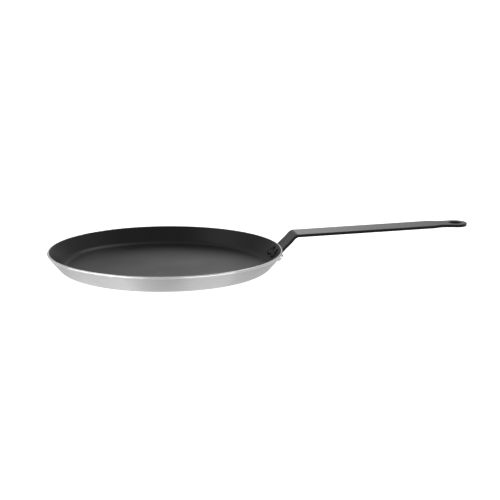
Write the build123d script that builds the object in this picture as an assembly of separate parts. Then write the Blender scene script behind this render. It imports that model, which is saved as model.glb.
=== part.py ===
from build123d import *
import math
import os

# Crepe pan: a low flared aluminium pan, its non-stick lining, a steel strip handle and two rivets.
# Millimetres and degrees, +Z up. The origin is the middle of the flat underside of the base.
# +X runs along the handle, and the front is the -Y side.

# Pan: one pressed disc, its wall end cut square to the wall and rounded on both sides
rim_diameter = 301.0  # at the wall's end, before its outside is rounded
pan_height = 24.5  # where the wall's end and its inner face would meet
wall_lean = 39.8  # from upright
base_thickness = 3.7
wall_thickness = 3.0
base_corner_radius = 16.0  # outside, between base and wall
floor_corner_radius = 12.0  # inside, between floor and wall, on the lining
rim_outer_radius = 1.2  # round the outside of the wall's end
rim_inner_radius = 0.9  # round its inside, from where the lining stops
lining_thickness = 0.3

# Handle strip: foot on the wall, leg, bend, grip, neck and eye
strip_width = 33.0
strip_thickness = 3.8
foot_length = 20.5  # down the wall from its end
foot_corner_radius = 9.0
leg_length = 24.05  # from the wall's end to the corner of the bend
leg_rise = 46.5  # above level
leg_flat_share = 0.5  # of the leg, where the strip has lost the wall's curve
bend_radius = 6.2  # inside the bend
grip_length = 192.6  # from the corner of the bend to the corner before the eye
grip_rise = 1.3  # above level
end_rise = -1.0  # above level, so the eye droops a little
end_bend_radius = 60.0
shoulder_length = 14.0  # along the strip, from its full width to the neck
shoulder_lead = 7.0  # how far the shoulders start before the corner of the end bend
shoulder_radius = 25.0
neck_width = 24.8
eye_distance = 26.0  # from the corner of the end bend to the middle of the eye
eye_radius = 15.4
eye_hole_radius = 8.2

# Rivets: solid, with domed heads inside the pan and almost flat ones outside
rivet_spacing = 19.0
rivet_drop = 11.8  # down the wall from its end
shank_radius = 3.0
inner_head_radius = 7.0
inner_head_height = 2.8
inner_head_edge = 0.9
outer_head_radius = 5.0
outer_head_height = 4.7
outer_head_edge = 4.0

# Clearances
shank_clearance = 0.1  # round the shank, in its holes
seat_gap = 0.05  # between pieces that the rivets hold together
cut_overrun = 5.0

lean = math.radians(wall_lean)
up_the_wall = Vector(math.sin(lean), 0, math.cos(lean))
into_the_wall = Vector(-math.cos(lean), 0, math.sin(lean))
rim_corner = Vector(rim_diameter / 2, 0, pan_height - wall_thickness * math.sin(lean))


def wall_point(depth, drop):
    """The point at a depth in from the wall's outer face and a drop down from its end."""
    return rim_corner + into_the_wall * depth - up_the_wall * drop


def wall_corner(depth, level):
    """Where the wall, at a depth in from its outer face, would run into a level."""
    drop = (wall_point(depth, 0).Z - level) / up_the_wall.Z
    return wall_point(depth, drop)


def direction(rise):
    """The way along +X that climbs at an angle above level, in radians."""
    return Vector(math.cos(rise), 0, math.sin(rise))


leg_way = direction(math.radians(leg_rise))
grip_way = direction(math.radians(grip_rise))
end_way = direction(math.radians(end_rise))


def turned(lines):
    """The solid that a closed outline beside the upright axis makes in a full turn."""
    return revolve(make_face(lines), Axis.Z)


def inner_line(depth, level, corner_radius):
    """The lining's line at a depth from the outer face: down the wall from the rim and in to the axis."""
    return FilletPolyline(
        wall_point(depth, rim_inner_radius),
        wall_corner(depth, level),
        Vector(0, 0, level),
        radius=corner_radius,
    )


def rivet_places():
    """Where the rivets go: on the wall's outer face, with +Z out along each rivet, front one first."""
    centre = wall_point(0, rivet_drop)
    half_turn = math.degrees(math.asin(rivet_spacing / 2 / centre.X))
    on_wall = Plane(centre, x_dir=Vector(0, 1, 0), z_dir=into_the_wall * -1).location
    return [Rot(0, 0, turn) * on_wall for turn in (-half_turn, half_turn)]


def drilled(shape):
    """A shape with the rivet holes cut through it."""
    depth = wall_thickness + lining_thickness + strip_thickness + 2 * cut_overrun
    for place in rivet_places():
        shape -= place * Cylinder(shank_radius + shank_clearance, 2 * depth)
    return shape


def make_pan_body():
    """The turned aluminium body, drilled for the rivets."""
    profile = FilletPolyline(
        Vector(0, 0, 0),
        wall_corner(0, 0),
        wall_point(0, 0),
        wall_point(wall_thickness, 0),
        wall_corner(wall_thickness, base_thickness),
        Vector(0, 0, base_thickness),
        radius=[
            base_corner_radius,
            rim_outer_radius,
            rim_inner_radius,
            floor_corner_radius + lining_thickness,
        ],
    )
    axis = Line(Vector(0, 0, base_thickness), Vector(0, 0, 0))
    return drilled(turned(profile + axis))


def make_lining():
    """The coat over the whole inside, up to where the rim's rounding starts."""
    below = inner_line(wall_thickness, base_thickness, floor_corner_radius + lining_thickness)
    depth = wall_thickness + lining_thickness
    level = base_thickness + lining_thickness
    above = inner_line(depth, level, floor_corner_radius)
    axis = Line(Vector(0, 0, base_thickness), Vector(0, 0, level))
    end = Line(wall_point(wall_thickness, rim_inner_radius), wall_point(depth, rim_inner_radius))
    return drilled(turned(below + axis + above + end))


def across(origin, way):
    """A plane across the strip: X to the rear, Y out of its inner face, Z the way along."""
    return Plane(origin, x_dir=Vector(0, 1, 0), z_dir=way)


def strip_section(place, wall_radius=None):
    """The strip's outline in a plane across it, bent round the wall where a radius is given."""
    half = strip_width / 2
    if wall_radius is None:
        bow = 0
        inner = Line((-half, 0), (half, 0))
        outer = Line((half, -strip_thickness), (-half, -strip_thickness))
    else:
        bow = wall_radius - math.sqrt(wall_radius**2 - half**2)
        inner = ThreePointArc((-half, bow), (0, 0), (half, bow))
        outer = ThreePointArc(
            (half, bow - strip_thickness), (0, -strip_thickness), (-half, bow - strip_thickness)
        )
    rear = Line((half, bow), (half, bow - strip_thickness))
    front = Line((-half, bow - strip_thickness), (-half, bow))
    return place * make_face(inner + rear + outer + front)


def wall_section(drop):
    """The strip's outline on the wall, at a drop down from its end."""
    origin = wall_point(-seat_gap, drop)
    return strip_section(across(origin, up_the_wall), origin.X / math.cos(lean))


def corner_trim():
    """What is cut off the foot to round its two lower corners."""
    on_wall = Plane(wall_point(0, foot_length), x_dir=Vector(0, 1, 0), z_dir=into_the_wall * -1)
    block_size = foot_corner_radius + cut_overrun
    inset = strip_width / 2 - foot_corner_radius
    trim = Sketch()
    for side, outward in ((-1, Align.MAX), (1, Align.MIN)):
        block = Rectangle(block_size, block_size, align=(outward, Align.MAX))
        trim += Pos(side * inset, foot_corner_radius) * (block - Circle(foot_corner_radius))
    return extrude(on_wall * trim, amount=strip_thickness + cut_overrun, both=True)


def end_plane(end_corner):
    """The eye's upper face: X on along the eye, Y to the rear."""
    return Plane(end_corner, x_dir=end_way, z_dir=end_way.cross(Vector(0, 1, 0)))


def end_trim(end_corner):
    """What is cut off the strip's end to leave the shoulders, the neck and the eye with its hole."""
    half = strip_width / 2
    back = -shoulder_lead - shoulder_radius
    neck_start = shoulder_length - shoulder_lead
    side = [(back, half), (-shoulder_lead, half), (neck_start, neck_width / 2), (eye_distance, eye_radius)]
    radii = [0, shoulder_radius, shoulder_radius, 0]
    mirrored = [(x, -y) for x, y in reversed(side)]
    neck = make_face(FilletPolyline(*side, *mirrored, radius=radii + radii[::-1], close=True))
    eye = Pos(eye_distance, 0) * Circle(eye_radius)
    hole = Pos(eye_distance, 0) * Circle(eye_hole_radius)
    length = eye_distance + eye_radius + cut_overrun - back
    zone = Pos(back, 0) * Rectangle(length, strip_width + 2 * cut_overrun, align=(Align.MIN, Align.CENTER))
    return extrude(
        end_plane(end_corner) * (zone - neck - eye + hole), amount=strip_thickness + cut_overrun, both=True
    )


def handle_corners():
    """The corners of the strip's inner face: at the wall's end, in the bend and before the eye."""
    leg_foot = wall_point(-seat_gap, 0)
    bend_corner = leg_foot + leg_way * leg_length
    end_corner = bend_corner + grip_way * grip_length
    return leg_foot, bend_corner, end_corner


def make_handle():
    """The whole strip, from its foot on the wall to the eye."""
    leg_foot, bend_corner, end_corner = handle_corners()
    leg_flat = leg_foot + (bend_corner - leg_foot) * leg_flat_share
    tip = end_corner + end_way * (eye_distance + eye_radius)
    flat_section = strip_section(across(leg_flat, leg_way))
    foot = loft([wall_section(foot_length), wall_section(0)], ruled=True)
    leg = loft([wall_section(0), flat_section], ruled=True)
    path = FilletPolyline(
        leg_flat, bend_corner, end_corner, tip, radius=[bend_radius + strip_thickness, end_bend_radius]
    )
    strip = foot + leg + sweep(flat_section, path)
    return drilled(strip - corner_trim() - end_trim(end_corner))


def head(radius, edge, height):
    """A round head standing on the XY plane: a short upright edge under a dome."""
    rim = Vector(radius, 0, edge)
    top = Vector(0, 0, height)
    dome = TangentArc(top, rim, tangent=Vector(1, 0, 0))
    base = Polyline(rim, Vector(radius, 0, 0), Vector(0, 0, 0), top)
    return turned(dome + base)


def inner_head_seat():
    """How far in from the wall's outer face the flat inner heads sit, clear of the hollow lining."""
    depth = wall_thickness + lining_thickness
    wall_radius = wall_point(depth, rivet_drop).X / math.cos(lean)
    reach = inner_head_radius + lining_thickness
    hollow = wall_radius - math.sqrt(wall_radius**2 - reach**2)
    return depth + hollow + seat_gap


def make_rivet(place):
    """One rivet: low head inside, shank through wall and foot, domed head on the foot."""
    inner_seat = inner_head_seat()
    outer_seat = strip_thickness + 2 * seat_gap
    shank = Pos(0, 0, -inner_seat) * Cylinder(
        shank_radius, inner_seat + outer_seat, align=(Align.CENTER, Align.CENTER, Align.MIN)
    )
    inner = head(inner_head_radius, inner_head_edge, inner_head_height)
    outer = head(outer_head_radius, outer_head_edge, outer_head_height)
    return place * (Pos(0, 0, -inner_seat) * Rot(180, 0, 0) * inner + shank + Pos(0, 0, outer_seat) * outer)


def make_rivet_coating(place):
    """The coat over a rivet's inner head."""
    metal = head(inner_head_radius, inner_head_edge, inner_head_height)
    coated = head(
        inner_head_radius + lining_thickness, inner_head_edge, inner_head_height + lining_thickness
    )
    return place * Pos(0, 0, -inner_head_seat()) * Rot(180, 0, 0) * (coated - metal)


parts = {
    "pan_body": make_pan_body(),
    "nonstick_lining": make_lining(),
    "handle": make_handle(),
}
for side_name, place in zip(("front", "rear"), rivet_places()):
    parts[f"rivet_{side_name}"] = make_rivet(place)
    parts[f"rivet_{side_name}_coating"] = make_rivet_coating(place)

os.makedirs("parts", exist_ok=True)
for name, shape in parts.items():
    export_step(shape, f"parts/{name}.step")

eye_plane = end_plane(handle_corners()[-1])
eye_middle = eye_plane.origin + eye_plane.x_dir * eye_distance - eye_plane.z_dir * strip_thickness / 2
print("eye middle", eye_middle, "axis", eye_plane.z_dir)
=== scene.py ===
"""The looks of a crepe pan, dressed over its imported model.

Sizes are in millimetres, as in the part's own source, and each mesh becomes metres as it is
finished. The frame is the part's: the origin is the middle of the base's underside, +X runs along
the handle, +Z is up.
"""

import logging
import math
from dataclasses import dataclass, field
from enum import Enum
from typing import Any, Callable, Iterable, Mapping, Optional, Sequence, Union

import bmesh
import bpy
from mathutils import Matrix, Vector


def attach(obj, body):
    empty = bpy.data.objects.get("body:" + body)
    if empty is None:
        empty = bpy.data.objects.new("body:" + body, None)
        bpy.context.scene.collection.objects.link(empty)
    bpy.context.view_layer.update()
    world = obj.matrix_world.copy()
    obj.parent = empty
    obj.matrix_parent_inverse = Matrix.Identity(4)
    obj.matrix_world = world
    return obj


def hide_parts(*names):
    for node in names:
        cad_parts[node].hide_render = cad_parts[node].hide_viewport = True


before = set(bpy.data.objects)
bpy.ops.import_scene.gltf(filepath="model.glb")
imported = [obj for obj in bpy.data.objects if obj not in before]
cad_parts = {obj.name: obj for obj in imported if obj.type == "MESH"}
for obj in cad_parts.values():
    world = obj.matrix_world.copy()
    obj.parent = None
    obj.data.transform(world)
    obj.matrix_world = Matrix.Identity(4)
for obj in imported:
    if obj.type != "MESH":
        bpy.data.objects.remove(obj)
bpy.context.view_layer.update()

log = logging.getLogger("crepe_pan")

MM = 0.001
ALONG = Vector((1.0, 0.0, 0.0))
FRONT_TO_REAR = Vector((0.0, 1.0, 0.0))
UP = Vector((0.0, 0.0, 1.0))

# Points nearer than this are one, first in an outline and then in a solid.
DRAWN_GAP = 2e-3
SOLID_GAP = 1e-4
# A line that is shorter than this has no length.
NO_LENGTH = 1e-6
# A point that is nearer to a cut than this lies on it.
ON_CUT = 1e-5

Node = bpy.types.Node
Socket = bpy.types.NodeSocket
Value = Union[float, Sequence[float], Socket]
Inputs = Mapping[Any, Value]
Colour = tuple[float, float, float, float]
Span = tuple[float, float]


class Slot(Enum):
    """The record's material slots."""

    PAN = "pan_aluminium"
    COAT = "nonstick_coat"
    HANDLE = "handle_steel"
    RIVET = "rivet_aluminium"


class Side(Enum):
    """Which of the two rivets, and the way that it is turned from the handle's middle."""

    FRONT = -1
    REAR = 1


# Drawing and turning


@dataclass(frozen=True)
class Corner:
    """One corner of an outline, which an arc may round.

    Attributes:
        x: Place along the outline's first direction.
        y: Place along its second direction.
        radius: Radius of the arc, or 0 where the corner stays sharp.
        steps: Straight pieces that the arc is made of.
    """

    x: float
    y: float
    radius: float = 0.0
    steps: int = 8


class Draughtsman:
    """Draws outlines into a bmesh and turns them into solids with bmesh operators."""

    def __init__(self, second: Vector = UP) -> None:
        """Starts an empty mesh, with the corners' x along +X and their y along a second way."""
        self.bm = bmesh.new()
        self.second = second

    def point(self, corner: Corner) -> Vector:
        """Returns the place of a corner."""
        return ALONG * corner.x + self.second * corner.y

    def run(self, start: bmesh.types.BMVert, end: Vector) -> bmesh.types.BMVert:
        """Draws a straight line.

        Args:
            start: The vertex that it leaves.
            end: Where it ends.

        Returns:
            The vertex at its end, or the start itself where the line has no length.
        """
        if (end - start.co).length < NO_LENGTH:
            return start
        drawn = bmesh.ops.extrude_vert_indiv(self.bm, verts=[start])["verts"]
        bmesh.ops.translate(self.bm, verts=drawn, vec=end - start.co)
        return drawn[0]

    def arc(
        self, start: bmesh.types.BMVert, corner: Corner, back: Vector, ahead: Vector
    ) -> bmesh.types.BMVert:
        """Draws the arc that rounds a corner.

        Args:
            start: The vertex where it starts.
            corner: The corner that it rounds.
            back: The way from the corner to the one before it.
            ahead: The way from the corner to the one after it.

        Returns:
            The vertex at its end.
        """
        turn = math.pi - back.angle(ahead)
        inward = (ahead - back * ahead.dot(back)).normalized()
        spun = bmesh.ops.spin(
            self.bm,
            geom=[start],
            cent=start.co + inward * corner.radius,
            axis=ahead.cross(back).normalized(),
            angle=turn,
            steps=corner.steps,
        )
        return next(v for v in spun["geom_last"] if isinstance(v, bmesh.types.BMVert))

    def outline(self, corners: Sequence[Corner]) -> None:
        """Draws a line through corners, rounding those that have a radius.

        Args:
            corners: The corners in order.
        """
        pen = self.bm.verts.new(self.point(corners[0]))
        for before, corner, after in zip(corners, corners[1:], corners[2:]):
            here = self.point(corner)
            back = (self.point(before) - here).normalized()
            ahead = (self.point(after) - here).normalized()
            reach = corner.radius * math.tan((math.pi - back.angle(ahead)) / 2)
            pen = self.run(pen, here + back * reach)
            if corner.radius > 0:
                pen = self.arc(pen, corner, back, ahead)
        self.run(pen, self.point(corners[-1]))
        bmesh.ops.remove_doubles(self.bm, verts=self.bm.verts[:], dist=DRAWN_GAP)

    def divide(self, longest: float) -> None:
        """Cuts every edge that is longer than a length into equal shorter ones.

        Args:
            longest: The length.
        """
        by_cuts: dict[int, list[bmesh.types.BMEdge]] = {}
        for edge in self.bm.edges:
            cuts = math.ceil(edge.calc_length() / longest) - 1
            if cuts > 0:
                by_cuts.setdefault(cuts, []).append(edge)
        for cuts, edges in by_cuts.items():
            bmesh.ops.subdivide_edges(self.bm, edges=edges, cuts=cuts)

    def turn(self, steps: int) -> None:
        """Turns the outline once round the upright axis, into a closed solid that faces outwards.

        Args:
            steps: Pieces that a full turn is made of.
        """
        bmesh.ops.spin(
            self.bm,
            geom=self.bm.verts[:] + self.bm.edges[:],
            cent=(0.0, 0.0, 0.0),
            axis=UP,
            angle=2 * math.pi,
            steps=steps,
            use_merge=True,
        )
        bmesh.ops.remove_doubles(self.bm, verts=self.bm.verts[:], dist=SOLID_GAP)
        bmesh.ops.dissolve_degenerate(self.bm, edges=self.bm.edges[:], dist=NO_LENGTH)
        bmesh.ops.recalc_face_normals(self.bm, faces=self.bm.faces[:])

    def finish(
        self, name: str, place: Matrix = Matrix.Identity(4), crease: float = 32.0
    ) -> bpy.types.Object:
        """Makes the drawn solid an object, in metres.

        Args:
            name: The piece's name.
            place: Where the solid goes, in millimetres.
            crease: The angle in degrees above which an edge stays sharp.

        Returns:
            The object, at the origin, unturned and unscaled.
        """
        bmesh.ops.transform(self.bm, matrix=Matrix.Scale(MM, 4) @ place, verts=self.bm.verts[:])
        for face in self.bm.faces:
            face.smooth = True
        made = show_mesh(self.bm, name)
        made.data.set_sharp_from_angle(angle=math.radians(crease))
        return made


def show(name: str, data: bpy.types.ID) -> bpy.types.Object:
    """Makes an object of a mesh, a lamp or a camera.

    Args:
        name: The object's name.
        data: What it shows.

    Returns:
        The object, in the scene.
    """
    made = bpy.data.objects.new(name, data)
    bpy.context.scene.collection.objects.link(made)
    return made


def show_mesh(bm: bmesh.types.BMesh, name: str) -> bpy.types.Object:
    """Makes an object of a bmesh, which is then freed.

    Args:
        bm: The bmesh.
        name: The name of the mesh and the object.

    Returns:
        The object, in the scene.
    """
    mesh = bpy.data.meshes.new(name)
    bm.to_mesh(mesh)
    bm.free()
    return show(name, mesh)


# Nodes and shared effects


class Graph:
    """A node tree that is being filled in."""

    def __init__(self, tree: bpy.types.NodeTree) -> None:
        """Takes an empty tree."""
        self.tree = tree

    def fill(self, node: Node, inputs: Inputs) -> None:
        """Gives a node's inputs their values.

        Args:
            node: The node.
            inputs: Numbers, or sockets to link, by the inputs' names or numbers.
        """
        for key, value in inputs.items():
            if isinstance(value, Socket):
                self.tree.links.new(value, node.inputs[key])
            else:
                node.inputs[key].default_value = value

    def node(self, kind: str, inputs: Optional[Inputs] = None, **settings: object) -> Node:
        """Adds a node.

        Args:
            kind: The node's type.
            inputs: Values or sockets for its inputs.
            settings: Its own properties.

        Returns:
            The node.
        """
        made = self.tree.nodes.new(kind)
        for key, setting in settings.items():
            setattr(made, key, setting)
        self.fill(made, inputs or {})
        return made

    def place(self) -> Socket:
        """Returns the place on the piece, in Object coordinates."""
        return self.node("ShaderNodeTexCoord").outputs["Object"]

    def math(self, operation: str, *values: Value) -> Socket:
        """Returns the result of a Math node on up to three values."""
        return self.node("ShaderNodeMath", dict(enumerate(values)), operation=operation).outputs[0]

    def times(self, first: Value, second: Value) -> Socket:
        """Returns the product of two numbers."""
        return self.math("MULTIPLY", first, second)

    def vector(self, operation: str, *values: Value) -> Node:
        """Returns the Vector Math node for an operation on up to three values."""
        return self.node("ShaderNodeVectorMath", dict(enumerate(values)), operation=operation)

    def mix(self, share: Value, low: Value, high: Value) -> Socket:
        """Returns the blend of two numbers by a share."""
        inputs = {0: share, 2: low, 3: high}
        return self.node("ShaderNodeMix", inputs, data_type="FLOAT").outputs[0]

    def blend(self, share: Value, low: Value, high: Value) -> Socket:
        """Returns the blend of two colours by a share."""
        inputs = {0: share, 6: low, 7: high}
        return self.node("ShaderNodeMix", inputs, data_type="RGBA").outputs[2]

    def spread(self, value: Value, low: float, high: float, start: float, end: float) -> Socket:
        """Maps a number smoothly from one range to another.

        Args:
            value: The number.
            low: Where its range starts.
            high: Where its range ends.
            start: What the start becomes.
            end: What the end becomes.

        Returns:
            The mapped number.
        """
        inputs = {0: value, 1: low, 2: high, 3: start, 4: end}
        return self.node("ShaderNodeMapRange", inputs, interpolation_type="SMOOTHSTEP").outputs[0]

    def noise(
        self, vector: Value, scale: Value, detail: float = 2.0, roughness: float = 0.5
    ) -> Socket:
        """Returns the value of a noise over space.

        Args:
            vector: Where it is read.
            scale: How fine it is, per metre.
            detail: How many finer layers it has.
            roughness: How strong they are.

        Returns:
            A number round 0.5.
        """
        inputs = {"Vector": vector, "Scale": scale, "Detail": detail, "Roughness": roughness}
        return self.node("ShaderNodeTexNoise", inputs).outputs["Fac"]


def fresh_graph(owner: Union[bpy.types.Material, bpy.types.World]) -> Graph:
    """Empties the node tree of a material or a world.

    Args:
        owner: The material or the world.

    Returns:
        Its tree, to be filled in.
    """
    owner.use_nodes = True
    owner.node_tree.nodes.clear()
    return Graph(owner.node_tree)


class Effect(Enum):
    """The shared effects, each one a node group that is built once."""

    TURNING = "Turning marks"
    GRAIN = "Coat grain"
    PATCHES = "Soft patches"
    WEAR = "Edge wear"


class EffectShelf:
    """Builds the shared node groups and places them in materials."""

    def __init__(self) -> None:
        """Starts with no group built."""
        self.built: dict[Effect, bpy.types.NodeTree] = {}
        self.makers: dict[Effect, Callable[[], bpy.types.NodeTree]] = {
            Effect.TURNING: self.turning,
            Effect.GRAIN: self.grain,
            Effect.PATCHES: self.patches,
            Effect.WEAR: self.wear,
        }

    def place(self, graph: Graph, effect: Effect, **inputs: Value) -> Node:
        """Adds an effect to a material.

        Args:
            graph: The material's tree.
            effect: Which effect.
            inputs: Values or sockets for its inputs, by name.

        Returns:
            The group's node.
        """
        if effect not in self.built:
            self.built[effect] = self.makers[effect]()
        return graph.node(
            "ShaderNodeGroup", inputs, node_tree=self.built[effect], label=effect.value
        )

    def start(
        self, effect: Effect, numbers: dict[str, float], outputs: Sequence[str]
    ) -> tuple[Graph, Node, Node]:
        """Starts a group that reads a position.

        Args:
            effect: The effect that it is for.
            numbers: Its number inputs and their usual values.
            outputs: The names of its number outputs.

        Returns:
            Its tree, its input node and its output node.
        """
        tree = bpy.data.node_groups.new(effect.value, "ShaderNodeTree")
        tree.interface.new_socket("Position", in_out="INPUT", socket_type="NodeSocketVector")
        for name, value in numbers.items():
            socket = tree.interface.new_socket(name, in_out="INPUT", socket_type="NodeSocketFloat")
            socket.default_value = value
        for name in outputs:
            tree.interface.new_socket(name, in_out="OUTPUT", socket_type="NodeSocketFloat")
        graph = Graph(tree)
        return graph, graph.node("NodeGroupInput"), graph.node("NodeGroupOutput")

    def turning(self) -> bpy.types.NodeTree:
        """Builds the circular marks that a lathe tool leaves round the upright axis.

        Returns:
            The group, with Height for a bump and Tone round 0.5.
        """
        numbers = {"Lines": 900.0, "Climb": 0.757}
        graph, given, result = self.start(Effect.TURNING, numbers, ["Height", "Tone"])
        parts = graph.node("ShaderNodeSeparateXYZ", {0: given.outputs["Position"]})
        x, y, z = parts.outputs
        radius = graph.math("SQRT", graph.math("ADD", graph.times(x, x), graph.times(y, y)))
        along = graph.math("ADD", graph.times(z, given.outputs["Climb"]), radius)
        line = graph.times(along, given.outputs["Lines"])
        layers = {"W": line, "Scale": 1.0, "Detail": 3.0, "Roughness": 0.65}
        fine = graph.node("ShaderNodeTexNoise", layers, noise_dimensions="1D").outputs["Fac"]
        # How finely a mark's tone changes on its way round.
        breaks = 26.0
        around = {0: graph.times(x, breaks), 1: graph.times(y, breaks), 2: line}
        broken = graph.noise(graph.node("ShaderNodeCombineXYZ", around).outputs[0], scale=0.35)
        graph.fill(result, {"Height": fine, "Tone": graph.mix(0.5, fine, broken)})
        return graph.tree

    def grain(self) -> bpy.types.NodeTree:
        """Builds the fine, slightly pebbled surface of a sprayed and baked coat.

        Returns:
            The group, with Height for a bump and Tone round 0.5.
        """
        numbers = {"Scale": 1500.0, "Pebbles": 0.4}
        graph, given, result = self.start(Effect.GRAIN, numbers, ["Height", "Tone"])
        position, scale, pebbles = (given.outputs[n] for n in ("Position", "Scale", "Pebbles"))
        inputs = {"Vector": position, "Scale": scale}
        cells = graph.node("ShaderNodeTexVoronoi", inputs, feature="SMOOTH_F1")
        fine = graph.noise(position, scale, detail=3.0, roughness=0.6)
        height = graph.mix(pebbles, fine, cells.outputs["Distance"])
        graph.fill(result, {"Height": height, "Tone": fine})
        return graph.tree

    def patches(self) -> bpy.types.NodeTree:
        """Builds the large, soft unevenness that pressing, baking and handling leave.

        Returns:
            The group, with Value round 0.5.
        """
        graph, given, result = self.start(Effect.PATCHES, {"Scale": 18.0}, ["Value"])
        broad = graph.noise(given.outputs["Position"], given.outputs["Scale"], detail=3.0)
        graph.fill(result, {"Value": graph.spread(broad, low=0.25, high=0.75, start=0.0, end=1.0)})
        return graph.tree

    def wear(self) -> bpy.types.NodeTree:
        """Builds the rubbed line along an edge, broken up by noise.

        Returns:
            The group, with Mask from 0 to 1.
        """
        numbers = {"Edge": 0.0, "Amount": 0.5, "Scale": 160.0}
        graph, given, result = self.start(Effect.WEAR, numbers, ["Mask"])
        position, scale = given.outputs["Position"], given.outputs["Scale"]
        broken = graph.noise(position, scale, detail=4.0, roughness=0.6)
        rubbed = graph.spread(broken, low=0.35, high=0.7, start=0.25, end=1.0)
        mask = graph.times(graph.times(rubbed, given.outputs["Edge"]), given.outputs["Amount"])
        graph.fill(result, {"Mask": mask})
        return graph.tree


SHELF = EffectShelf()


# Finishes


FINISHED: dict[str, bpy.types.Material] = {}

# A tone stays mostly between these.
FAINT, STRONG = 0.2, 0.8


@dataclass(frozen=True)
class Finish:
    """A material with nodes, built once.

    Attributes:
        name: The material's name.
        low: Darkest base colour.
        high: Lightest base colour.
        roughness: Middle roughness.
        sway: How far the roughness strays from it.
        patchy: Share of the soft patches in the tone.
        relief: Strength of the bumps.
        depth: Their depth, in metres.
    """

    name: str
    low: Colour
    high: Colour
    roughness: float
    sway: float
    patchy: float
    relief: float
    depth: float

    def shade(self, graph: Graph, shader: Node) -> None:
        """Fills in the material round its shader.

        Args:
            graph: The material's tree.
            shader: The shader.
        """
        raise NotImplementedError

    def material(self) -> bpy.types.Material:
        """Builds the material when it is first asked for.

        Returns:
            The material.
        """
        if self.name not in FINISHED:
            made = FINISHED[self.name] = bpy.data.materials.new(self.name)
            graph = fresh_graph(made)
            shader = graph.node("ShaderNodeBsdfPrincipled")
            graph.node("ShaderNodeOutputMaterial", {"Surface": shader.outputs[0]})
            self.shade(graph, shader)
        return FINISHED[self.name]

    def lay(
        self, graph: Graph, shader: Node, fine: Node, patches: Node, height: Socket
    ) -> Socket:
        """Gives a shader its base colour, roughness and bumps.

        Args:
            graph: The material's tree.
            shader: The shader.
            fine: The fine effect that colour and roughness vary by.
            patches: The soft patches that they vary by as well.
            height: What the bumps follow.

        Returns:
            The base colour.
        """
        tone = graph.mix(self.patchy, fine.outputs["Tone"], patches.outputs["Value"])
        colour = graph.blend(tone, self.low, self.high)
        smooth, rough = self.roughness - self.sway, self.roughness + self.sway
        bumps = {"Strength": self.relief, "Distance": self.depth, "Height": height}
        finish = {
            "Base Color": colour,
            "Roughness": graph.spread(tone, FAINT, STRONG, smooth, rough),
            "Normal": graph.node("ShaderNodeBump", bumps).outputs[0],
        }
        graph.fill(shader, finish)
        return colour


@dataclass(frozen=True)
class TurnedAluminium(Finish):
    """Aluminium that was finished on a lathe, with fine marks round the axis.

    Attributes:
        stretch: How far the marks stretch a highlight across themselves.
        lines: Marks per metre.
        metal: How metallic it shows, less than 1 where fine burrs scatter the light.
    """

    name: str = "turned_aluminium"
    low: Colour = (0.66, 0.66, 0.665, 1.0)
    high: Colour = (0.76, 0.76, 0.765, 1.0)
    roughness: float = 0.5
    sway: float = 0.05
    patchy: float = 0.35
    relief: float = 0.6
    depth: float = 1e-5
    stretch: float = 0.92
    lines: float = 900.0
    metal: float = 1.0

    def shade(self, graph: Graph, shader: Node) -> None:
        """Fills in the material round its shader.

        Args:
            graph: The material's tree.
            shader: The shader.
        """
        place = graph.place()
        marks = SHELF.place(graph, Effect.TURNING, Position=place, Lines=self.lines)
        patches = SHELF.place(graph, Effect.PATCHES, Position=place, Scale=22.0)
        way = graph.node("ShaderNodeTangent", direction_type="RADIAL", axis="Z")
        stretched = {
            "Metallic": self.metal,
            "Anisotropic": self.stretch,
            "Anisotropic Rotation": 0.25,
            "Tangent": way.outputs[0],
        }
        graph.fill(shader, stretched)
        self.lay(graph, shader, marks, patches, marks.outputs["Height"])


@dataclass(frozen=True)
class FormedAluminium(Finish):
    """Aluminium as a press or a rivet set leaves it: satin, with slight dents."""

    name: str = "formed_aluminium"
    low: Colour = (0.64, 0.64, 0.645, 1.0)
    high: Colour = (0.76, 0.76, 0.765, 1.0)
    roughness: float = 0.38
    sway: float = 0.06
    patchy: float = 0.5
    relief: float = 0.35
    depth: float = 5e-5

    def shade(self, graph: Graph, shader: Node) -> None:
        """Fills in the material round its shader.

        Args:
            graph: The material's tree.
            shader: The shader.
        """
        place = graph.place()
        grain = SHELF.place(graph, Effect.GRAIN, Position=place, Scale=900.0, Pebbles=0.6)
        patches = SHELF.place(graph, Effect.PATCHES, Position=place, Scale=240.0)
        graph.fill(shader, {"Metallic": 1.0})
        self.lay(graph, shader, grain, patches, grain.outputs["Height"])


@dataclass(frozen=True)
class NonStickCoat(Finish):
    """The sprayed black coat inside the pan, over faint turning marks.

    Attributes:
        marked: Share of the turning marks in its bumps.
        refraction: Index of refraction, low for such a coat.
    """

    name: str = "sprayed_black_coat"
    low: Colour = (0.0035, 0.0035, 0.0037, 1.0)
    high: Colour = (0.0055, 0.0055, 0.0057, 1.0)
    roughness: float = 0.33
    sway: float = 0.03
    patchy: float = 0.4
    relief: float = 0.35
    depth: float = 3e-5
    marked: float = 0.25
    refraction: float = 1.36

    def shade(self, graph: Graph, shader: Node) -> None:
        """Fills in the material round its shader.

        Args:
            graph: The material's tree.
            shader: The shader.
        """
        place = graph.place()
        grain = SHELF.place(graph, Effect.GRAIN, Position=place, Scale=1300.0, Pebbles=0.5)
        marks = SHELF.place(graph, Effect.TURNING, Position=place, Lines=500.0)
        patches = SHELF.place(graph, Effect.PATCHES, Position=place, Scale=14.0)
        height = graph.mix(self.marked, grain.outputs["Height"], marks.outputs["Height"])
        graph.fill(shader, {"IOR": self.refraction})
        self.lay(graph, shader, grain, patches, height)


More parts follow.
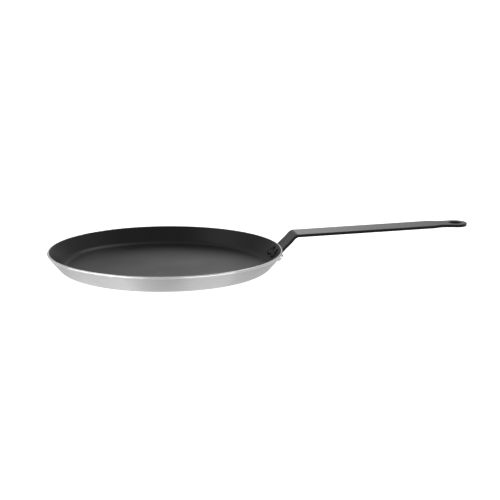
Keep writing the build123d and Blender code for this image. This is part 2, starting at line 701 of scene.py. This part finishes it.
@dataclass(frozen=True)
class BakedBlack(Finish):
    """The satin black coat on the steel strip, a little rubbed along its edges.

    Attributes:
        rubbed: Colour of a rubbed edge.
        refraction: Index of refraction.
    """

    name: str = "baked_black"
    low: Colour = (0.003, 0.003, 0.0032, 1.0)
    high: Colour = (0.006, 0.006, 0.0063, 1.0)
    roughness: float = 0.25
    sway: float = 0.04
    patchy: float = 0.4
    relief: float = 0.3
    depth: float = 3e-5
    rubbed: Colour = (0.03, 0.03, 0.031, 1.0)
    refraction: float = 1.62

    def shade(self, graph: Graph, shader: Node) -> None:
        """Fills in the material round its shader.

        Args:
            graph: The material's tree.
            shader: The shader.
        """
        place = graph.place()
        blank = graph.node("ShaderNodeUVMap", uv_map=HandleStrip.BLANK).outputs[0]
        drawn_out = {"Vector": blank, "Scale": (9.0, 260.0, 1.0)}
        streak = graph.node("ShaderNodeMapping", drawn_out).outputs[0]
        grain = SHELF.place(graph, Effect.GRAIN, Position=place, Scale=1100.0, Pebbles=0.5)
        drawn = SHELF.place(graph, Effect.PATCHES, Position=streak, Scale=1.0)
        edge = graph.node("ShaderNodeAttribute", attribute_name=HandleStrip.EDGE).outputs["Fac"]
        wear = SHELF.place(graph, Effect.WEAR, Position=place, Edge=edge, Amount=0.3)
        graph.fill(shader, {"IOR": self.refraction})
        coat = self.lay(graph, shader, grain, drawn, grain.outputs["Height"])
        worn = graph.blend(wear.outputs["Mask"], coat, self.rubbed)
        graph.fill(shader, {"Base Color": worn})


CUT_EDGE = TurnedAluminium(
    name="cut_edge",
    low=(0.84, 0.84, 0.845, 1.0),
    high=(0.9, 0.9, 0.905, 1.0),
    roughness=0.14,
    stretch=0.3,
    depth=2e-6,
    metal=0.65,
)
CUT_SIDE = BakedBlack(name="baked_black_cut", roughness=0.36, refraction=1.42)


# Sub-assemblies


@dataclass(frozen=True)
class Wall:
    """The sizes of the pan's wall, which the lining, the handle's foot and the rivets share.

    Attributes:
        rim_radius: Radius at the outer corner of the wall's end.
        height: Height where the wall's end and its inner face would meet.
        lean: The wall's lean from upright, in radians.
        thickness: The metal's thickness, across the wall.
        base_thickness: The metal's thickness in the base.
        coat: Thickness of the lining.
        outer_round: Radius round the outside of the wall's end.
        inner_round: Radius round its inside, from where the lining stops.
    """

    rim_radius: float = 150.5
    height: float = 24.5
    lean: float = math.radians(39.8)
    thickness: float = 3.0
    base_thickness: float = 3.7
    coat: float = 0.3
    outer_round: float = 1.2
    inner_round: float = 0.9

    @property
    def up(self) -> Vector:
        """The way up the wall, at its +X side."""
        return Vector((math.sin(self.lean), 0.0, math.cos(self.lean)))

    @property
    def into(self) -> Vector:
        """The way into the wall from outside, at its +X side."""
        return Vector((-math.cos(self.lean), 0.0, math.sin(self.lean)))

    def point(self, depth: float, drop: float) -> Vector:
        """Returns the point at a depth in from the wall's outer face and a drop below its end."""
        corner = Vector((self.rim_radius, 0.0, self.height - self.thickness * math.sin(self.lean)))
        return corner + self.into * depth - self.up * drop

    def meets(self, depth: float, level: float) -> Vector:
        """Returns where the wall, at a depth in from its outer face, would run into a level."""
        return self.point(depth, (self.point(depth, 0.0).z - level) / self.up.z)

    def radius_across(self, depth: float, drop: float) -> float:
        """Returns the radius of the wall's curve across its slope."""
        return self.point(depth, drop).x / math.cos(self.lean)


def corner_at(point: Vector, radius: float = 0.0, steps: int = 8) -> Corner:
    """Returns an outline's corner at a point of the XZ plane."""
    return Corner(point.x, point.z, radius, steps)


@dataclass
class Pan:
    """The turned aluminium body and the black coat inside it.

    Attributes:
        wall: The wall's sizes.
        base_corner: Radius outside, between base and wall.
        floor_corner: Radius inside, on the lining.
        facet: The longest piece of the outline.
        steps: Pieces in a full turn.
    """

    wall: Wall = field(default_factory=Wall)
    base_corner: float = 16.0
    floor_corner: float = 12.0
    facet: float = 3.0
    steps: int = 288

    def inner_line(self, depth: float, level: float, radius: float) -> list[Corner]:
        """Returns a line from the rim in to the axis, at a depth from the pan's outside.

        Args:
            depth: How far in from the wall's outer face it runs.
            level: Its level on the floor.
            radius: Radius of the arc between wall and floor.

        Returns:
            Its corners.
        """
        wall = self.wall
        return [
            corner_at(wall.point(depth, wall.inner_round)),
            corner_at(wall.meets(depth, level), radius, steps=16),
            Corner(0.0, level),
        ]

    def make_body(self) -> bpy.types.Object:
        """Builds the metal body, its cut end brighter than its wall.

        Returns:
            The body.
        """
        wall = self.wall
        pen = Draughtsman()
        inside = wall.meets(wall.thickness, wall.base_thickness)
        pen.outline(
            [
                Corner(0.0, 0.0),
                corner_at(wall.meets(0.0, 0.0), self.base_corner, steps=18),
                corner_at(wall.point(0.0, 0.0), wall.outer_round),
                corner_at(wall.point(wall.thickness, 0.0), wall.inner_round),
                corner_at(inside, self.floor_corner + wall.coat, steps=16),
                Corner(0.0, wall.base_thickness),
            ]
        )
        pen.divide(self.facet)
        pen.turn(self.steps)
        for face in pen.bm.faces:
            centre = face.calc_center_median()
            flat = Vector((math.hypot(centre.x, centre.y), 0.0, centre.z))
            drop = (wall.point(0.0, 0.0) - flat).dot(wall.up)
            face.material_index = int(drop < wall.outer_round)
        body = pen.finish("pan_body_turned")
        dress(body, TurnedAluminium(), CUT_EDGE)
        return body

    def make_lining(self) -> bpy.types.Object:
        """Builds the coat, a closed shell that ends flush with the wall's end.

        Returns:
            The lining.
        """
        wall = self.wall
        pen = Draughtsman()
        under = self.inner_line(wall.thickness, wall.base_thickness, self.floor_corner + wall.coat)
        depth, level = wall.thickness + wall.coat, wall.base_thickness + wall.coat
        over = self.inner_line(depth, level, self.floor_corner)
        pen.outline(list(reversed(under)) + over)
        pen.divide(self.facet)
        pen.turn(self.steps)
        lining = pen.finish("nonstick_lining_coat")
        dress(lining, NonStickCoat())
        return lining

    def build(self) -> None:
        """Builds both pieces and has them stand for their CAD nodes."""
        seat(self.make_body(), Slot.PAN, "pan_body")
        seat(self.make_lining(), Slot.COAT, "nonstick_lining")


def above(rise: float) -> Vector:
    """Returns the way square up from a line in the XZ plane that has a rise."""
    return Vector((-math.sin(rise), 0.0, math.cos(rise)))


@dataclass(frozen=True)
class PathPart:
    """One straight or evenly bent part of the line that the strip follows.

    Attributes:
        start: Where it starts.
        rise: Its rise above level at its start, in radians.
        length: Its length.
        bend: How far it turns down over its length, in radians.
    """

    start: Vector
    rise: float
    length: float
    bend: float = 0.0

    def at(self, distance: float) -> tuple[Vector, float]:
        """Returns where a distance along the part leads to.

        Args:
            distance: The distance from its start.

        Returns:
            The point there and the line's rise, in radians.
        """
        way = Vector((math.cos(self.rise), 0.0, math.sin(self.rise)))
        if self.bend == 0.0:
            return self.start + way * distance, self.rise
        radius = self.length / self.bend
        centre = self.start - above(self.rise) * radius
        rise = self.rise - distance / radius
        return centre + above(rise) * radius, rise

    @property
    def end(self) -> Vector:
        """Where it ends."""
        return self.at(self.length)[0]


@dataclass
class HandleStrip:
    """The steel strip, cut as a flat blank, rounded along its edges and bent to shape.

    Attributes:
        wall: The wall's sizes.
        width: Width of the strip.
        thickness: Thickness of the strip.
        foot: Length of the foot, down the wall.
        foot_corner: Radius of its two lower corners.
        leg: Length from the wall's end to the corner of the bend.
        leg_rise: Rise of the leg, in radians.
        flat_share: Share of the leg after which the strip has lost the wall's curve.
        bend_radius: Radius inside the bend.
        grip: Length from the bend's corner to the corner before the eye.
        grip_rise: Rise of the grip, in radians.
        end_rise: Rise of the eye, in radians.
        end_bend: Radius of the last bend.
        shoulder: Length of the shoulders.
        shoulder_lead: How far they start before the last corner.
        shoulder_radius: Radius of their two bends.
        neck: Width of the neck.
        eye_distance: From the last corner to the middle of the eye.
        eye_radius: Radius of the eye.
        hole_radius: Radius of its hole.
        edge_radius: How far the strip's edges are rounded.
        seat_gap: Gap between foot and wall.
        straight_step: Distance between cross-lines where the strip is straight.
        bend_step: Turn from one cross-line to the next in a bend, in radians.
        line_parts: The lengthwise lines stand the width over this number apart.
        side_lines: Lengthwise lines on each side of the middle one.
        cut_side: A face of the blank that rises less than this is a cut side, not a rolled face.
        edge_margin: How far inside the rounding the mark for rubbed edges stays.
    """

    BLANK = "blank"
    EDGE = "edge"

    wall: Wall = field(default_factory=Wall)
    width: float = 33.0
    thickness: float = 3.8
    foot: float = 20.5
    foot_corner: float = 9.0
    leg: float = 24.05
    leg_rise: float = math.radians(46.5)
    flat_share: float = 0.5
    bend_radius: float = 6.2
    grip: float = 192.6
    grip_rise: float = math.radians(1.3)
    end_rise: float = math.radians(-1.0)
    end_bend: float = 60.0
    shoulder: float = 14.0
    shoulder_lead: float = 7.0
    shoulder_radius: float = 25.0
    neck: float = 24.8
    eye_distance: float = 26.0
    eye_radius: float = 15.37
    hole_radius: float = 8.2
    edge_radius: float = 0.3
    seat_gap: float = 0.05
    straight_step: float = 4.0
    bend_step: float = math.radians(4)
    line_parts: int = 15
    side_lines: int = 6
    cut_side: float = 0.3
    edge_margin: float = 0.02

    def path(self) -> list[PathPart]:
        """Works out the line that the strip's inner face follows.

        Returns:
            Its parts, from the foot's end to the eye's tip.
        """
        outer_radius = self.bend_radius + self.thickness
        turn = self.leg_rise - self.grip_rise
        reach = outer_radius * math.tan(turn / 2)
        end_turn = self.grip_rise - self.end_rise
        end_reach = self.end_bend * math.tan(end_turn / 2)
        start = self.wall.point(-self.seat_gap, self.foot)
        plan = [
            (math.pi / 2 - self.wall.lean, self.foot, 0.0),
            (self.leg_rise, self.leg - reach, 0.0),
            (self.leg_rise, outer_radius * turn, turn),
            (self.grip_rise, self.grip - reach - end_reach, 0.0),
            (self.grip_rise, self.end_bend * end_turn, end_turn),
            (self.end_rise, self.eye_distance + self.eye_radius - end_reach, 0.0),
        ]
        parts: list[PathPart] = []
        for rise, length, bend in plan:
            parts.append(PathPart(start, rise, length, bend))
            start = parts[-1].end
        return parts

    def cut_blank(self, pen: Draughtsman, end: float) -> None:
        """Cuts the flat blank with its hole.

        Args:
            pen: What draws it.
            end: Distance from the foot's end to the corner before the eye.
        """
        half = self.width / 2
        eye = end + self.eye_distance
        tip = eye + self.eye_radius
        shoulder = end - self.shoulder_lead
        pen.outline(
            [
                Corner(0.0, 0.0),
                Corner(0.0, half, self.foot_corner, steps=12),
                Corner(shoulder, half, self.shoulder_radius),
                Corner(shoulder + self.shoulder, self.neck / 2, self.shoulder_radius),
                Corner(eye, self.eye_radius),
                Corner(tip, self.eye_radius, self.eye_radius, steps=20),
                Corner(tip, 0.0),
            ]
        )
        bm = pen.bm
        bmesh.ops.mirror(bm, geom=bm.verts[:] + bm.edges[:], axis="Y", merge_dist=DRAWN_GAP)
        bmesh.ops.remove_doubles(bm, verts=bm.verts[:], dist=DRAWN_GAP)
        middle = Matrix.Translation((eye, 0.0, 0.0))
        bmesh.ops.create_circle(bm, segments=56, radius=self.hole_radius, matrix=middle)
        bmesh.ops.triangle_fill(bm, use_beauty=True, edges=bm.edges[:])
        bmesh.ops.dissolve_limit(bm, angle_limit=0.01, verts=bm.verts[:], edges=bm.edges[:])
        bmesh.ops.solidify(bm, geom=bm.faces[:], thickness=self.thickness)
        lowest = min(v.co.z for v in bm.verts)
        bmesh.ops.translate(bm, verts=bm.verts[:], vec=(0.0, 0.0, -self.thickness - lowest))
        bmesh.ops.recalc_face_normals(bm, faces=bm.faces[:])
        sharp = 1.0
        rims = [e for e in bm.edges if len(e.link_faces) == 2 and e.calc_face_angle(0.0) > sharp]
        bmesh.ops.bevel(
            bm,
            geom=rims,
            offset=self.edge_radius,
            offset_type="OFFSET",
            segments=3,
            profile=0.5,
            affect="EDGES",
            material=-1,
            loop_slide=True,
        )

    def score(self, bm: bmesh.types.BMesh, parts: Sequence[PathPart]) -> None:
        """Adds the cross-lines and the lengthwise lines on which the blank bends.

        Args:
            bm: The blank.
            parts: The parts of the line that it will follow.
        """
        places: list[float] = []
        start = 0.0
        for part in parts:
            step = self.straight_step
            if part.bend:
                step = part.length / max(2, math.ceil(part.bend / self.bend_step))
            count = max(1, math.ceil(part.length / step))
            places += [start + part.length * i / count for i in range(count + 1)]
            start += part.length
        for place in sorted(set(round(p, 6) for p in places))[1:-1]:
            self.slice(bm, Vector((place, 0.0, 0.0)), ALONG)
        for i in range(-self.side_lines, self.side_lines + 1):
            self.slice(bm, Vector((0.0, i * self.width / self.line_parts, 0.0)), FRONT_TO_REAR)

    @staticmethod
    def slice(bm: bmesh.types.BMesh, place: Vector, way: Vector) -> None:
        """Cuts a line all round a solid, without parting it."""
        every = bm.verts[:] + bm.edges[:] + bm.faces[:]
        bmesh.ops.bisect_plane(bm, geom=every, dist=ON_CUT, plane_co=place, plane_no=way)

    def bow(self, distance: float, across: float) -> float:
        """Returns how far the strip's inner face stands in from flat, to lie on the round wall.

        Args:
            distance: From the foot's end, along the strip.
            across: From the strip's middle.

        Returns:
            The distance, towards the pan.
        """
        drop = max(0.0, self.foot - distance)
        radius = self.wall.radius_across(-self.seat_gap, drop)
        full = radius - math.sqrt(radius**2 - across**2)
        past = (distance - self.foot) / (self.leg * self.flat_share)
        return full * min(1.0, max(0.0, 1.0 - past))

    def bend_blank(self, bm: bmesh.types.BMesh, parts: Sequence[PathPart]) -> None:
        """Bends the flat blank to its line, and keeps its flat places for the finish.

        Args:
            bm: The blank.
            parts: The parts of the line.
        """
        flat = bm.loops.layers.uv.new(self.BLANK)
        edge = bm.verts.layers.float.new(self.EDGE)
        for face in bm.faces:
            face.material_index = int(abs(face.normal.z) < self.cut_side)
            for loop in face.loops:
                loop[flat].uv = (loop.vert.co.x * MM, loop.vert.co.y * MM)
        for vert in bm.verts:
            depth = -vert.co.z
            nearest = min(depth, self.thickness - depth)
            vert[edge] = float(self.edge_margin < nearest < self.edge_radius - self.edge_margin)
            distance, across = vert.co.x, vert.co.y
            start = 0.0
            for part in parts:
                if distance <= start + part.length or part is parts[-1]:
                    break
                start += part.length
            point, rise = part.at(distance - start)
            lift = self.bow(distance, across) - depth
            vert.co = point + above(rise) * lift + FRONT_TO_REAR * across

    def build(self) -> None:
        """Builds the strip and has it stand for its CAD node."""
        parts = self.path()
        reach = self.end_bend * math.tan((self.grip_rise - self.end_rise) / 2)
        foot_to_grip = parts[:4]
        end = sum(part.length for part in foot_to_grip) + reach
        pen = Draughtsman(FRONT_TO_REAR)
        self.cut_blank(pen, end)
        self.score(pen.bm, parts)
        bmesh.ops.remove_doubles(pen.bm, verts=pen.bm.verts[:], dist=SOLID_GAP)
        self.bend_blank(pen.bm, parts)
        bmesh.ops.recalc_face_normals(pen.bm, faces=pen.bm.faces[:])
        strip = pen.finish("handle_strip", crease=40.0)
        weighted = strip.modifiers.new("even_faces", "WEIGHTED_NORMAL")
        weighted.keep_sharp = True
        dress(strip, BakedBlack(), CUT_SIDE)
        seat(strip, Slot.HANDLE, "handle")


@dataclass
class Rivet:
    """One solid rivet and the coat over its inner head.

    Attributes:
        side: Front or rear.
        wall: The wall's sizes.
        spacing: Distance between the two rivets.
        drop: How far down the wall they sit.
        shank: Radius of the shank.
        inner_radius: Radius of the inner head.
        inner_height: Its height.
        inner_edge: Height of its upright edge.
        outer_radius: Radius of the outer head.
        outer_height: Its height.
        outer_edge: Height of its upright edge.
        strip: Thickness of the handle's foot.
        seat_gap: Gap between pieces that the rivet holds together.
        edge_round: How far the heads' edges are rounded.
        steps: Pieces in a full turn.
    """

    side: Side
    wall: Wall = field(default_factory=Wall)
    spacing: float = 19.0
    drop: float = 11.8
    shank: float = 3.0
    inner_radius: float = 7.0
    inner_height: float = 2.8
    inner_edge: float = 0.9
    outer_radius: float = 5.0
    outer_height: float = 4.7
    outer_edge: float = 4.0
    strip: float = 3.8
    seat_gap: float = 0.05
    edge_round: float = 0.25
    steps: int = 72

    @property
    def name(self) -> str:
        """The rivet's name."""
        return f"rivet_{self.side.name.lower()}"

    @property
    def inner_seat(self) -> float:
        """How far in from the wall's outer face the inner head sits."""
        depth = self.wall.thickness + self.wall.coat
        radius = self.wall.radius_across(depth, self.drop)
        reach = self.inner_radius + self.wall.coat
        return depth + radius - math.sqrt(radius**2 - reach**2) + self.seat_gap

    @property
    def place(self) -> Matrix:
        """Where the rivet goes: on the wall's outer face, with +Z out along it."""
        centre = self.wall.point(0.0, self.drop)
        out = -self.wall.into
        turn = self.side.value * math.asin(self.spacing / 2 / centre.x)
        axes = Matrix((FRONT_TO_REAR, out.cross(FRONT_TO_REAR), out)).transposed().to_4x4()
        return Matrix.Rotation(turn, 4, "Z") @ Matrix.Translation(centre) @ axes

    @staticmethod
    def dome(
        radius: float, rise: float, seat: float, way: int, edge_round: float = 0.0
    ) -> list[Corner]:
        """Returns the outline of a shallow dome, from its edge to its top on the axis.

        Args:
            radius: Radius of its edge.
            rise: Its height above the edge.
            seat: The level of its edge.
            way: 1 where it rises outwards, -1 inwards.
            edge_round: Radius of the arc at its edge.

        Returns:
            Corners along it.
        """
        ball = (radius**2 + rise**2) / (2 * rise)
        reach = math.asin(radius / ball)
        count = 10
        corners: list[Corner] = []
        for i in range(count + 1):
            angle = reach * (1 - i / count)
            level = seat + way * (rise - ball * (1 - math.cos(angle)))
            rounding = 0.0 if i else edge_round
            corners.append(Corner(ball * math.sin(angle), level, rounding, steps=4))
        return corners

    def inner_dome(self, coat: float = 0.0, edge_round: float = 0.0) -> list[Corner]:
        """Returns the outline of the inner head's dome, or of the coat's dome over it.

        Args:
            coat: Thickness of the coat.
            edge_round: Radius of the arc at its edge.

        Returns:
            Corners along it, from its edge to its top.
        """
        edge = -self.inner_seat - self.inner_edge
        rise = self.inner_height - self.inner_edge + coat
        return self.dome(self.inner_radius + coat, rise, edge, -1, edge_round)

    def make_metal(self) -> bpy.types.Object:
        """Builds the rivet: inner head, shank and outer head in one.

        Returns:
            The rivet.
        """
        inner, outer = -self.inner_seat, self.strip + 2 * self.seat_gap
        rise = self.outer_height - self.outer_edge
        edge = outer + self.outer_edge
        outside = self.dome(self.outer_radius, rise, edge, 1, self.edge_round)
        pen = Draughtsman()
        pen.outline(
            list(reversed(self.inner_dome()))
            + [
                Corner(self.inner_radius, inner),
                Corner(self.shank, inner),
                Corner(self.shank, outer),
                Corner(self.outer_radius, outer, self.edge_round, steps=3),
            ]
            + outside
        )
        pen.turn(self.steps)
        rivet = pen.finish(f"{self.name}_set", self.place)
        dress(rivet, FormedAluminium())
        return rivet

    def make_coat(self) -> bpy.types.Object:
        """Builds the coat over the inner head, a closed shell.

        Returns:
            The coat.
        """
        coat, inner = self.wall.coat, -self.inner_seat
        pen = Draughtsman()
        pen.outline(
            list(reversed(self.inner_dome()))
            + [Corner(self.inner_radius, inner), Corner(self.inner_radius + coat, inner)]
            + self.inner_dome(coat, self.edge_round)
        )
        pen.turn(self.steps)
        made = pen.finish(f"{self.name}_coat", self.place)
        dress(made, NonStickCoat())
        return made

    def build(self) -> None:
        """Builds the rivet and its coat and has them stand for their CAD nodes."""
        seat(self.make_metal(), Slot.RIVET, self.name)
        seat(self.make_coat(), Slot.COAT, f"{self.name}_coating")


def dress(piece: bpy.types.Object, *finishes: Finish) -> None:
    """Gives a piece its finishes, in the order of its faces' material numbers."""
    for finish in finishes:
        piece.data.materials.append(finish.material())


def seat(piece: bpy.types.Object, slot: Slot, *nodes: str) -> None:
    """Has a piece ride on the one body and stand for its CAD nodes.

    Args:
        piece: The piece.
        slot: The material slot for its finish; not used.
        nodes: The CAD nodes that it stands for.
    """
    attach(piece, "root")
    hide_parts(*nodes)
    triangles = sum(len(face.vertices) - 2 for face in piece.data.polygons)
    log.info("%s stands for %s: %d triangles", piece.name, ", ".join(nodes), triangles)


# Studio


@dataclass(frozen=True)
class Softbox:
    """A soft rectangle of light, aimed at the pan.

    Attributes:
        name: The lamp's name.
        bearing: Where it stands, in degrees: -90 is the camera's side, 0 its right, 90 beyond.
        elevation: How high it stands, in degrees.
        width: Its width, in metres.
        height: Its height, in metres.
        glow: Its brightness, where 1 is white.
        distance: How far it stands, in metres.
    """

    name: str
    bearing: float
    elevation: float
    width: float
    height: float
    glow: float
    distance: float = 1.6


@dataclass
class Studio:
    """The pale floor, the soft light and the camera.

    Attributes:
        aim: Where the camera looks, in millimetres.
        stand: Where the camera is, in millimetres.
        lens: Its focal length on its sensor.
        sensor: Width of the sensor.
        turn: The photograph's view is this many degrees round from the part's front.
        boxes: The lamps.
        lamp_aim: Where they point, in metres.
        room: Brightness of the room, and of its part behind the camera.
        behind: Bearing and elevation of that part's middle.
        room_part: Between these cosines from there the one turns to the other.
        backdrop: Glows of the backdrop: bearing, narrowness and brightness.
        backdrop_top: Between these rises the glows end.
        floor_radius: Radius of the floor, in metres.
        floor_drop: How far it lies under the pan, in metres, so that the two don't touch.
        floor_tone: How much light it gives back.
        floor_glow: What it adds for the camera, near the pan and far from it.
        glow_reach: Between these distances from the middle the one turns to the other.
        mirrored: How bright metal sees it, under the pan and beyond it; in front it is dark.
        mirrored_share: Share of that in what metal sees; the rest is the matt floor.
        under_pan: Between these distances from the middle the floor under the pan ends.
        beyond_pan: Between these distances, counted towards the camera, the floor beyond ends.
    """

    aim: tuple[float, float, float] = (105.88, -21.54, 23.8)
    stand: tuple[float, float, float] = (-322.2, -2125.4, 503.7)
    lens: float = 124.24
    sensor: float = 36.0
    turn: float = -11.5
    boxes: tuple[Softbox, ...] = (
        Softbox("low_left_softbox", -158.0, 20.0, 2.0, 1.2, 1.75),
        Softbox("low_front_softbox", -125.0, 18.0, 0.9, 1.0, 1.9),
        Softbox("low_right_softbox", -45.0, 20.0, 1.5, 1.2, 1.7),
        Softbox("side_left_softbox", -172.0, 52.0, 0.7, 0.6, 0.6),
        Softbox("high_left_softbox", 146.0, 53.0, 0.6, 0.5, 0.45),
        Softbox("high_right_softbox", 32.0, 53.0, 0.6, 0.5, 0.3),
        Softbox("beyond_right_softbox", 60.0, 50.0, 0.6, 0.6, 1.6),
    )
    lamp_aim: tuple[float, float, float] = (0.05, 0.0, 0.02)
    room: Span = (0.35, 0.03)
    behind: Span = (-90.0, 12.0)
    room_part: Span = (0.8, 0.97)
    backdrop: tuple[tuple[float, float, float], ...] = (
        (90.0, 500.0, 0.7),
        (85.5, 600.0, 0.13),
        (60.0, 12.0, 0.06),
    )
    backdrop_top: Span = (0.5, 0.8)
    floor_radius: float = 14.0
    floor_drop: float = 0.0003
    floor_tone: float = 0.86
    floor_glow: Span = (0.84, 1.0)
    glow_reach: Span = (0.3, 1.2)
    mirrored: float = 0.82
    mirrored_share: float = 0.85
    under_pan: Span = (0.17, 0.23)
    beyond_pan: Span = (-0.15, 0.05)

    def away(self, bearing: float, elevation: float) -> Vector:
        """Returns the direction at a bearing, as a softbox has it, and an elevation."""
        a, e = math.radians(bearing + self.turn), math.radians(elevation)
        return Vector((math.cos(a) * math.cos(e), math.sin(a) * math.cos(e), math.sin(e)))

    def hang_lamps(self) -> None:
        """Puts up the softboxes."""
        for box in self.boxes:
            lamp = bpy.data.lights.new(box.name, "AREA")
            lamp.shape = "RECTANGLE"
            lamp.size, lamp.size_y = box.width, box.height
            lamp.energy = box.glow * math.pi * box.width * box.height
            hung = show(box.name, lamp)
            way = self.away(box.bearing, box.elevation)
            hung.location = Vector(self.lamp_aim) + way * box.distance
            hung.rotation_mode = "QUATERNION"
            hung.rotation_quaternion = way.to_track_quat("Z", "Y")

    def lay_floor(self) -> None:
        """Lays the pale floor, white to the camera but for a soft shadow under the pan."""
        bm = bmesh.new()
        level = Matrix.Translation((0.0, 0.0, -self.floor_drop))
        bmesh.ops.create_circle(
            bm, cap_ends=True, segments=96, radius=self.floor_radius, matrix=level
        )
        floor = show_mesh(bm, "floor")
        material = bpy.data.materials.new("white_floor")
        self.colour_floor(fresh_graph(material))
        floor.data.materials.append(material)

    def colour_floor(self, graph: Graph) -> None:
        """Makes the floor matt, with a glow for the camera and a brightness of its own in metal.

        Args:
            graph: The tree of its material.
        """
        place = graph.place()
        far = graph.vector("LENGTH", place).outputs["Value"]
        nearer = self.away(self.behind[0], 0.0)
        fore = graph.vector("DOT_PRODUCT", place, nearer).outputs["Value"]
        path = graph.node("ShaderNodeLightPath").outputs
        camera = path["Is Camera Ray"]
        under = graph.spread(far, *self.under_pan, 1.0, 0.0)
        beyond = graph.spread(fore, *self.beyond_pan, 1.0, 0.0)
        mirrored = graph.mix(graph.math("MAXIMUM", under, beyond), 0.0, self.mirrored)
        level = graph.mix(camera, mirrored, graph.spread(far, *self.glow_reach, *self.floor_glow))
        tone = (self.floor_tone, self.floor_tone, self.floor_tone, 1.0)
        matt = graph.node("ShaderNodeBsdfDiffuse", {"Color": tone}).outputs[0]
        glow = {"Color": (1.0, 1.0, 1.0, 1.0), "Strength": level}
        white = graph.node("ShaderNodeEmission", glow).outputs[0]
        lit = graph.node("ShaderNodeAddShader", {0: matt, 1: white}).outputs[0]
        seen = graph.node("ShaderNodeMixShader", {0: camera, 1: matt, 2: lit}).outputs[0]
        in_metal = graph.times(path["Is Glossy Ray"], self.mirrored_share)
        own = graph.math("MAXIMUM", in_metal, path["Is Transmission Ray"])
        mixed = graph.node("ShaderNodeMixShader", {0: own, 1: seen, 2: white}).outputs[0]
        graph.node("ShaderNodeOutputMaterial", {"Surface": mixed})

    def light_world(self) -> None:
        """Makes the room: glows beyond the pan, dimmer behind the camera, white to the camera."""
        world = bpy.data.worlds.new("studio")
        bpy.context.scene.world = world
        graph = fresh_graph(world)
        way = graph.node("ShaderNodeTexCoord").outputs["Generated"]
        rise = graph.node("ShaderNodeSeparateXYZ", {0: way}).outputs[2]
        flat = graph.vector("MULTIPLY", way, (1.0, 1.0, 0.0)).outputs[0]
        level = graph.vector("NORMALIZE", flat).outputs[0]
        low = graph.spread(rise, *self.backdrop_top, 1.0, 0.0)
        facing = graph.vector("DOT_PRODUCT", way, self.away(*self.behind)).outputs["Value"]
        room = graph.spread(facing, *self.room_part, *self.room)
        for bearing, narrowness, strength in self.backdrop:
            near = graph.vector("DOT_PRODUCT", level, self.away(bearing, 0.0)).outputs["Value"]
            aside = graph.times(graph.math("SUBTRACT", near, 1.0), narrowness)
            glow = graph.times(graph.times(graph.math("EXPONENT", aside), low), strength)
            room = graph.math("ADD", room, glow)
        camera = graph.node("ShaderNodeLightPath").outputs["Is Camera Ray"]
        shine = {"Color": (1.0, 1.0, 1.0, 1.0), "Strength": graph.mix(camera, room, 1.0)}
        light = graph.node("ShaderNodeBackground", shine)
        graph.node("ShaderNodeOutputWorld", {"Surface": light.outputs[0]})

    def stand_camera(self) -> None:
        """Puts the camera where the photograph was taken from."""
        data = bpy.data.cameras.new("camera")
        data.lens = self.lens
        data.sensor_width = self.sensor
        data.clip_end = 60.0
        camera = show("camera", data)
        way = Vector(self.aim) - Vector(self.stand)
        camera.location = Vector(self.stand) * MM
        camera.rotation_mode = "QUATERNION"
        camera.rotation_quaternion = way.to_track_quat("-Z", "Y")
        bpy.context.scene.camera = camera

    def build(self) -> None:
        """Sets up the whole studio."""
        bpy.context.scene.view_settings.view_transform = "Standard"
        self.stand_camera()
        self.hang_lamps()
        self.lay_floor()
        self.light_world()


def main() -> None:
    """Builds the studio and the pan, piece by piece."""
    logging.basicConfig(level=logging.INFO, format="%(name)s: %(message)s")
    Studio().build()
    Pan().build()
    HandleStrip().build()
    for side in Side:
        Rivet(side).build()


if __name__ == "__main__":
    main()
